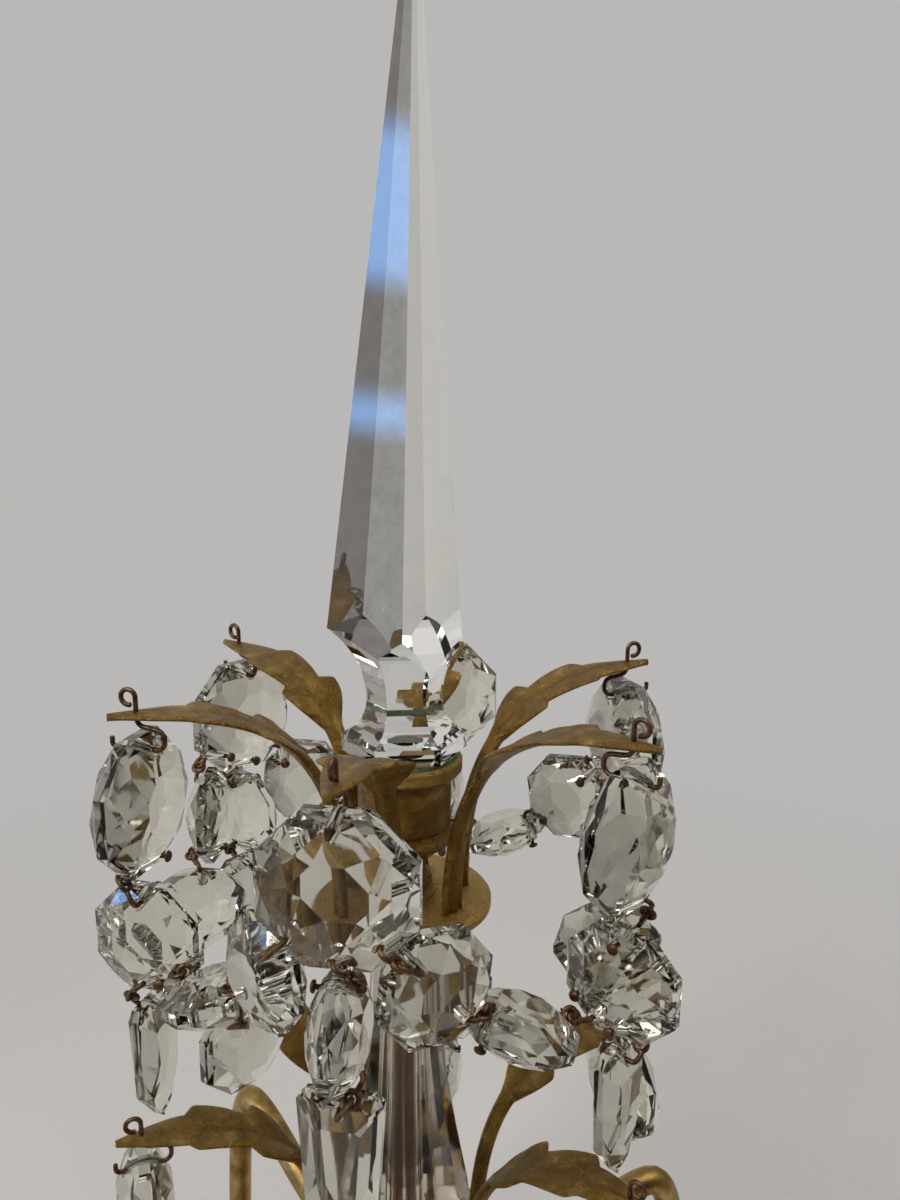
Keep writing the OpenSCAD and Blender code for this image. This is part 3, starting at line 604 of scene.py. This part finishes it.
def leaf_hook(k, az, r, hook):
    front = pin(BIG_T)
    back = -front - 0.4
    top = -HOOK_DROP
    path = [
        (1.4, 2.6),
        (4, 2.6),
        (4, 6.6),
        (0, 6.6),
        (0, -2.6),
        (back, -3.8),
        (back, top),
        (front, top),
        (front, top + 2.6),
    ]
    centre = at(leaf_az(k), r, 0, hook)
    return even(rounded([centre + at(az, p[0], 0, p[1]) for p in path], HOOK_BENDS))


def slope(along, angle):
    a = math.radians(angle)
    return along * math.cos(a) + Vector((0, 0, math.sin(a)))


def swag_wires(k, side):
    """Three wires of the festoon that leaves octagon k on that side."""
    slant = big_hole * math.sqrt(0.5)
    first = at(leaf_az(k), upper_r, side * slant, upper_big_z - slant)
    tie_dir = math.radians(TIE_DIRS[0 if side > 0 else 1])
    tie_az = chain_az(k + side)
    tie = at(leaf_az(k + side), upper_r, 0, second_z)
    tie -= at(tie_az, second_hole * math.sin(tie_dir), 0, second_hole * math.cos(tie_dir))
    along = (tie - first) * Vector((1, 1, 0))
    along.normalize()
    out = Vector((along.y, -along.x, 0)) * side
    up = slope(along, LAST_WAY + 90)
    aside = tangent(tie_az) * -side
    a_top = first + slope(along, FIRST_WAY) * (link_l + FIRST_GAP)
    a_end = a_top + slope(along, FIRST_WAY) * (2 * swag_hole)
    b_start = a_end + slope(along, MIDDLE_WAY) * (link_l + MIDDLE_GAP)
    b_end = b_start + slope(along, LAST_WAY) * (2 * swag_hole)
    return (
        link((first, radial(leaf_az(k)), pin(BIG_T)), (a_top, out, pin(SMALL_T)))
        + link((a_end, out, pin(SMALL_T)), (b_start, up, pin(SMALL_T)))
        + link((b_end, up, pin(SMALL_T)), (tie, aside, pin(SMALL_T)), aside * TIE_EYES_OUT)
    )


FESTOONS = {
    "festoon_front_right": (0, 1),
    "festoon_front_left": (0, -1),
    "festoon_back_right": (2, 1),
    "festoon_right": (2, -1),
    "festoon_left": (4, 1),
    "festoon_back_left": (4, -1),
}
for name, (k, side) in FESTOONS.items():
    wires(name + "_wires", swag_wires(k, side))


def hung(k, z):
    """Point on the plumb line under an upper hook."""
    return at(leaf_az(k), upper_r, 0, z)


upper_strands = []
for k in range(LEAF_COUNT):
    az = chain_az(k)
    carries_small = k % 2 == 0
    top = small_top if carries_small else second_top
    low = small_low if carries_small else second_low
    upper_strands.append(leaf_hook(k, az, upper_r, upper_hook))
    upper_strands.extend(
        link(
            (hung(k, upper_big_z - big_hole), radial(az), pin(BIG_T)),
            (hung(k, top), tangent(az), pin(SMALL_T)),
            tangent(az) * CHAIN_EYES_OUT,
        )
    )
    prism_link = link(
        (hung(k, low), tangent(az), pin(SMALL_T)),
        (hung(k, low - link_l), radial(az), PRISM_PIN),
        radial(az) * PRISM_EYES_OUT,
    )
    if carries_small:
        wires("small_octagon_%d_wire" % (k // 2 + 1), prism_link)
    else:
        upper_strands.extend(prism_link)
wires("upper_wires", upper_strands)
wires("lower_hooks", [leaf_hook(k, leaf_az(k), lower_r, lower_hook) for k in range(LEAF_COUNT)])
for k in range(1, LEAF_COUNT, 2):
    az = leaf_az(k)
    drop_link = link(
        (at(az, lower_r, 0, lower_big_z - big_hole), radial(az), pin(BIG_T)),
        (at(az, lower_r, 0, lower_big_z - big_hole - link_l), tangent(az), pin(SMALL_T)),
    )
    wires("lower_octagon_%d_wire" % (k + 1), drop_link)

# Bedding: a ring that stops just short of the glass, so that the foot stays clear
BED_GAP = 0.15
BED_SIDES = 96


def bed_ring(r, z):
    return [at(360 * i / BED_SIDES, r, 0, z) for i in range(BED_SIDES)]


bed = Solid("bedding_fine")
bed_top = BED_Z + BED_T - BED_GAP
bed_rings = [
    (PEG_HOLE_R, BED_Z),
    (BED_R, BED_Z),
    (BED_R, bed_top),
    (PEG_HOLE_R, bed_top),
    (PEG_HOLE_R, BED_Z),
]
bed.band([bed_ring(r, z) for r, z in bed_rings])
stand_in("bedding", bed.data(smooth=False))

# Cut edges of the glass catch the light on a narrow flat
CUT_FLAT, CUT_ANGLE = 0.22, 18
for name, obj in frame["nodes"].items():
    if SLOTS[name] == "glass":
        flat = obj.modifiers.new("cut_edges", "BEVEL")
        flat.width = CUT_FLAT * MM
        flat.segments = 1
        flat.limit_method = "ANGLE"
        flat.angle_limit = math.radians(CUT_ANGLE)

# Studio: a pale floor; its far part glows for the camera and lets other rays reach the surround
PALE = srgb(186, 184, 182)
FLOOR_SIZE, FLOOR_DROP = 30.0, 0.0005
GLOW_FROM, GLOW_FULL = 0.25, 0.9
bpy.ops.mesh.primitive_plane_add(size=FLOOR_SIZE, location=(0, 0, -FLOOR_DROP))
floor = bpy.context.object
floor.name = "floor"
floor_paint = Shader("floor_paint")
floor_paint.set(Roughness=0.9)
floor_paint.join(
    floor_paint.ramp(floor_paint.noise(3.0), [(0.3, srgb(200, 198, 196)), (0.7, srgb(206, 204, 202))]),
    floor_paint.surface.inputs["Base Color"],
)
far = floor_paint.node("ShaderNodeVectorMath", operation="LENGTH")
floor_paint.join(floor_paint.place(), far.inputs[0])
fade = floor_paint.span(far.outputs["Value"], GLOW_FROM, GLOW_FULL, 0.0, 1.0)
glow = floor_paint.node("ShaderNodeEmission", Color=PALE)
open_floor = floor_paint.node("ShaderNodeBsdfTransparent")
floor_rays = floor_paint.node("ShaderNodeLightPath")
beyond = floor_paint.node("ShaderNodeMixShader")
floor_paint.join(floor_rays.outputs["Is Camera Ray"], beyond.inputs["Fac"])
floor_paint.join(open_floor.outputs["BSDF"], beyond.inputs[1])
floor_paint.join(glow.outputs["Emission"], beyond.inputs[2])
blend = floor_paint.node("ShaderNodeMixShader")
floor_paint.join(fade, blend.inputs["Fac"])
floor_paint.join(floor_paint.surface.outputs["BSDF"], blend.inputs[1])
floor_paint.join(beyond.outputs["Shader"], blend.inputs[2])
floor_paint.join(blend.outputs["Shader"], floor_paint.tree.nodes["Material Output"].inputs["Surface"])
floor.data.materials.append(floor_paint.material)


def area_light(name, place, target, size, power, colour):
    lamp = bpy.data.lights.new(name, "AREA")
    lamp.shape = "RECTANGLE"
    lamp.size, lamp.size_y = size
    lamp.energy = power
    lamp.color = colour
    obj = bpy.data.objects.new(name, lamp)
    bpy.context.scene.collection.objects.link(obj)
    obj.location = place
    obj.rotation_euler = (Vector(target) - Vector(place)).to_track_quat("-Z", "Y").to_euler()


area_light("ceiling", (0.4, -0.3, 1.9), (0, 0, 0.3), (1.4, 1.4), 14.0, (1.0, 0.96, 0.9))
area_light("lamp", (-0.7, -0.9, 1.3), (0, 0, 0.3), (0.22, 0.22), 9.0, (1.0, 0.93, 0.82))

# Surround: a pale wall in front, lighter at the left; the glass mirrors a dim room behind the camera
world = bpy.data.worlds.new("surround")
bpy.context.scene.world = world
world.use_nodes = True
sky = world.node_tree
background = sky.nodes["Background"]
background.inputs["Strength"].default_value = 1.0
way = sky.nodes.new("ShaderNodeTexCoord")
parts = sky.nodes.new("ShaderNodeSeparateXYZ")
rays = sky.nodes.new("ShaderNodeLightPath")
sky.links.new(way.outputs["Generated"], parts.inputs["Vector"])


def sky_step(axis, low, high):
    """0 below low, 1 above high, along one axis of the ray's direction."""
    made = sky.nodes.new("ShaderNodeMapRange")
    made.interpolation_type = "SMOOTHSTEP"
    made.inputs["From Min"].default_value = low
    made.inputs["From Max"].default_value = high
    sky.links.new(parts.outputs[axis], made.inputs["Value"])
    return made.outputs["Result"]


def sky_without(kind):
    """1 for every ray that isn't of this kind."""
    rest = sky.nodes.new("ShaderNodeMath")
    rest.operation = "SUBTRACT"
    rest.inputs[0].default_value = 1.0
    sky.links.new(rays.outputs[kind], rest.inputs[1])
    return rest.outputs["Value"]


def sky_product(factors):
    result = factors[0]
    for factor in factors[1:]:
        made = sky.nodes.new("ShaderNodeMath")
        made.operation = "MULTIPLY"
        sky.links.new(result, made.inputs[0])
        sky.links.new(factor, made.inputs[1])
        result = made.outputs["Value"]
    return result


def sky_mix(factor, a, b):
    made = sky.nodes.new("ShaderNodeMix")
    made.data_type = "RGBA"
    sky.links.new(factor, made.inputs["Factor"])
    for socket, value in (("A", a), ("B", b)):
        if isinstance(value, tuple):
            made.inputs[socket].default_value = value
        else:
            sky.links.new(value, made.inputs[socket])
    return made.outputs["Result"]


wall = sky_mix(sky_step("X", -0.5, 0.5), srgb(214, 212, 207), srgb(150, 146, 142))
room = sky_mix(sky_step("Y", -0.85, -0.1), srgb(82, 78, 73), wall)
sky.links.new(sky_mix(rays.outputs["Is Camera Ray"], room, PALE), background.inputs["Color"])

# Window low in the surround at the left: two panes of plain sky, by the height of the ray's direction
WINDOW_LIGHT = 12.0
WINDOW_SKY = (0.15, 0.45, 1.0, 1)
NO_LIGHT = (0.0, 0.0, 0.0, 1)
PANES = ((0.1, 0.13), (0.24, 0.37))
PANE_SOFT = 0.02
panes = NO_LIGHT
for low, high in PANES:
    inside = sky_product(
        [
            sky_step("Z", low - PANE_SOFT, low + PANE_SOFT),
            sky_step("Z", high + PANE_SOFT, high - PANE_SOFT),
        ]
    )
    panes = sky_mix(inside, panes, WINDOW_SKY)
opening = sky_product(
    [
        sky_step("X", -0.6, -0.7),
        sky_step("Y", -0.44, -0.36),
        sky_step("Y", -0.1, -0.18),
        sky_without("Is Transmission Ray"),
        sky_without("Is Camera Ray"),
    ]
)
window = sky.nodes.new("ShaderNodeBackground")
window.inputs["Strength"].default_value = WINDOW_LIGHT
sky.links.new(sky_mix(opening, NO_LIGHT, panes), window.inputs["Color"])
both = sky.nodes.new("ShaderNodeAddShader")
sky.links.new(background.outputs["Background"], both.inputs[0])
sky.links.new(window.outputs["Background"], both.inputs[1])
sky.links.new(both.outputs["Shader"], sky.nodes["World Output"].inputs["Surface"])

# Camera as fitted to the photograph: focal length in its pixels, place in metres,
# tilt and roll in degrees
IMAGE_H, FOCAL_PX, SENSOR_H = 1200, 975.25, 36.0
CAMERA_AT = (0.01243, -0.2596, 0.43782)
CAMERA_DOWN, CAMERA_ROLL = 11.7, 0.46
camera_data = bpy.data.cameras.new("photo_camera")
camera_data.sensor_fit = "VERTICAL"
camera_data.sensor_height = SENSOR_H
camera_data.lens = SENSOR_H * FOCAL_PX / IMAGE_H
camera_data.clip_start = 0.01
camera = bpy.data.objects.new("photo_camera", camera_data)
bpy.context.scene.collection.objects.link(camera)
camera.matrix_world = (
    Matrix.Translation(CAMERA_AT)
    @ Matrix.Rotation(math.radians(90 - CAMERA_DOWN), 4, "X")
    @ Matrix.Rotation(math.radians(CAMERA_ROLL), 4, "Z")
)
bpy.context.scene.camera = camera
bpy.context.scene.view_settings.view_transform = "Standard"
